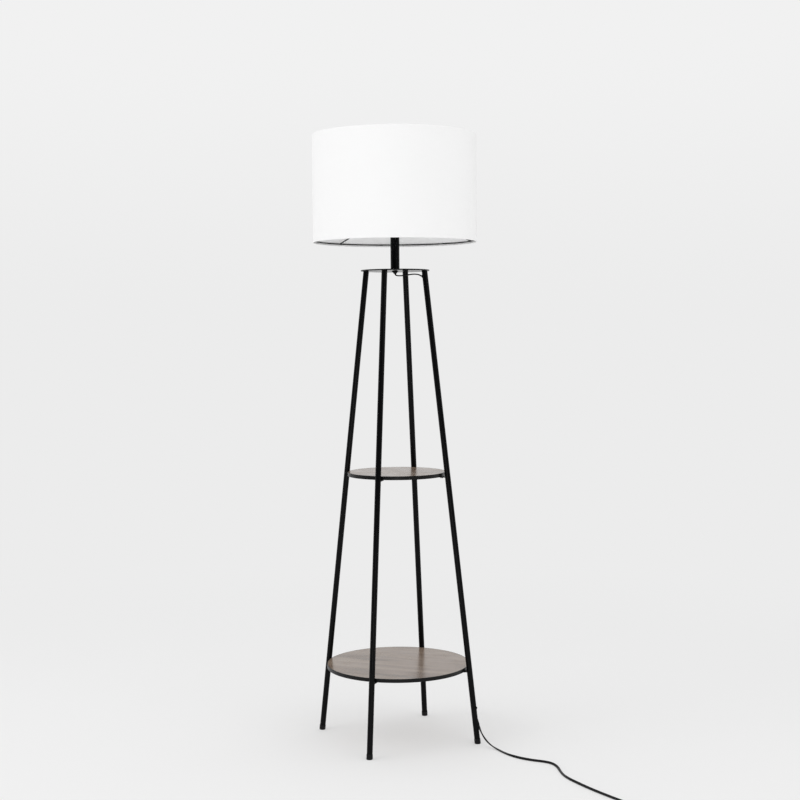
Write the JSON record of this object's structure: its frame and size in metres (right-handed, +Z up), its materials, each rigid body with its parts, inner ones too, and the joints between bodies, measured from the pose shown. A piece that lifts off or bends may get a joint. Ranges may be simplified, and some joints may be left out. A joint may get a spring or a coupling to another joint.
{
  "type": "shelf floor lamp",
  "caption": "Floor lamp on four splayed tube legs with two round shelves, a short stem, a white drum shade and a trailing mains lead.",
  "frame": {"origin": "on the floor, midway between the four feet, under the stem", "axes": "+Z up along the stem; the legs stand on +X, -X, +Y and -Y, and the mains lead leaves the +X leg; seen in the picture from between -Y and +X"},
  "size_m": [0.9516, 0.689, 1.4823],
  "materials": {
    "black_steel": "satin black powder coat",
    "black_plastic": "moulded, satin",
    "zinc_steel": "zinc plated",
    "wood_board": "grey-brown wood-grain laminate, matt",
    "black_edging": "satin edge band",
    "ceramic": "glazed ceramic",
    "brass": "pressed sheet",
    "bulb_metal": "nickel plated",
    "black_glass": "glass insulator",
    "bulb_housing": "moulded, matt white",
    "bulb_globe": "frosted",
    "shade_cloth": "plain-weave white cotton",
    "shade_liner": "white styrene sheet",
    "lead": "flat PVC flex",
    "plug": "moulded PVC",
    "pins": "nickel-plated brass",
    "tie": "soft band"
  },
  "bodies": {
    "stand": {"top_plate": "black_steel", "upper_leg_right": "black_steel", "upper_leg_back": "black_steel", "upper_leg_left": "black_steel", "upper_leg_front": "black_steel", "lower_leg_right": "black_steel", "lower_leg_back": "black_steel", "lower_leg_left": "black_steel", "lower_leg_front": "black_steel", "stem": "black_steel", "stem_cap": "black_steel", "plate_screws": "black_steel", "foot_cap_right": "black_plastic", "foot_cap_back": "black_plastic", "foot_cap_left": "black_plastic", "foot_cap_front": "black_plastic", "holder_cap": "black_plastic", "holder_body": "black_plastic", "rod_bushing": "black_plastic", "cord_entry_grommet": "black_plastic", "cord_exit_sleeve": "black_plastic", "leg_joiners": "zinc_steel", "leg_nuts": "zinc_steel", "threaded_rod": "zinc_steel", "rod_nut": "zinc_steel", "middle_shelf_screws": "zinc_steel", "lower_shelf_screws": "zinc_steel", "middle_shelf": "wood_board", "lower_shelf": "wood_board", "middle_shelf_edging": "black_edging", "lower_shelf_edging": "black_edging", "holder_core": "ceramic", "screw_shell": "brass", "centre_contact": "brass", "cord_in_stem": "lead", "cord_under_plate": "lead", "cord_in_leg": "lead", "cord_on_floor": "lead", "cord_coil": "lead", "cord_to_plug": "lead", "plug_body": "plug", "plug_pins": "pins", "cord_tie": "tie"},
    "bulb": {"bulb_contact": "bulb_metal", "bulb_insulator": "black_glass", "bulb_cap": "bulb_metal", "bulb_collar": "bulb_housing", "bulb_globe": "bulb_globe"},
    "switch": {"switch_knob": "black_plastic", "switch_spindle": "zinc_steel"},
    "shade": {"shade_fabric": "shade_cloth", "shade_liner": "shade_liner", "shade_seam": "shade_cloth", "shade_top_ring": "black_steel", "shade_bottom_ring": "black_steel", "shade_arms": "black_steel", "shade_fitter": "black_steel"},
    "shade_collar": {"shade_collar": "black_plastic"}
  },
  "joints": [
    {"name": "switch_turn", "type": "hinge", "parent": "stand", "child": "switch", "pos_m": [0.01887, -0.00921, 1.2543], "axis": [0.8988, -0.4384, 0], "continuous": true},
    {"name": "bulb_turn", "type": "hinge", "parent": "stand", "child": "bulb", "pos_m": [0, 0, 1.281], "axis": [0, 0, 1], "continuous": true},
    {"name": "shade_turn", "type": "hinge", "parent": "stand", "child": "shade", "pos_m": [0, 0, 1.2923], "axis": [0, 0, 1], "continuous": true},
    {"name": "collar_turn", "type": "hinge", "parent": "stand", "child": "shade_collar", "pos_m": [0, 0, 1.297], "axis": [0, 0, 1], "continuous": true}
  ]
}
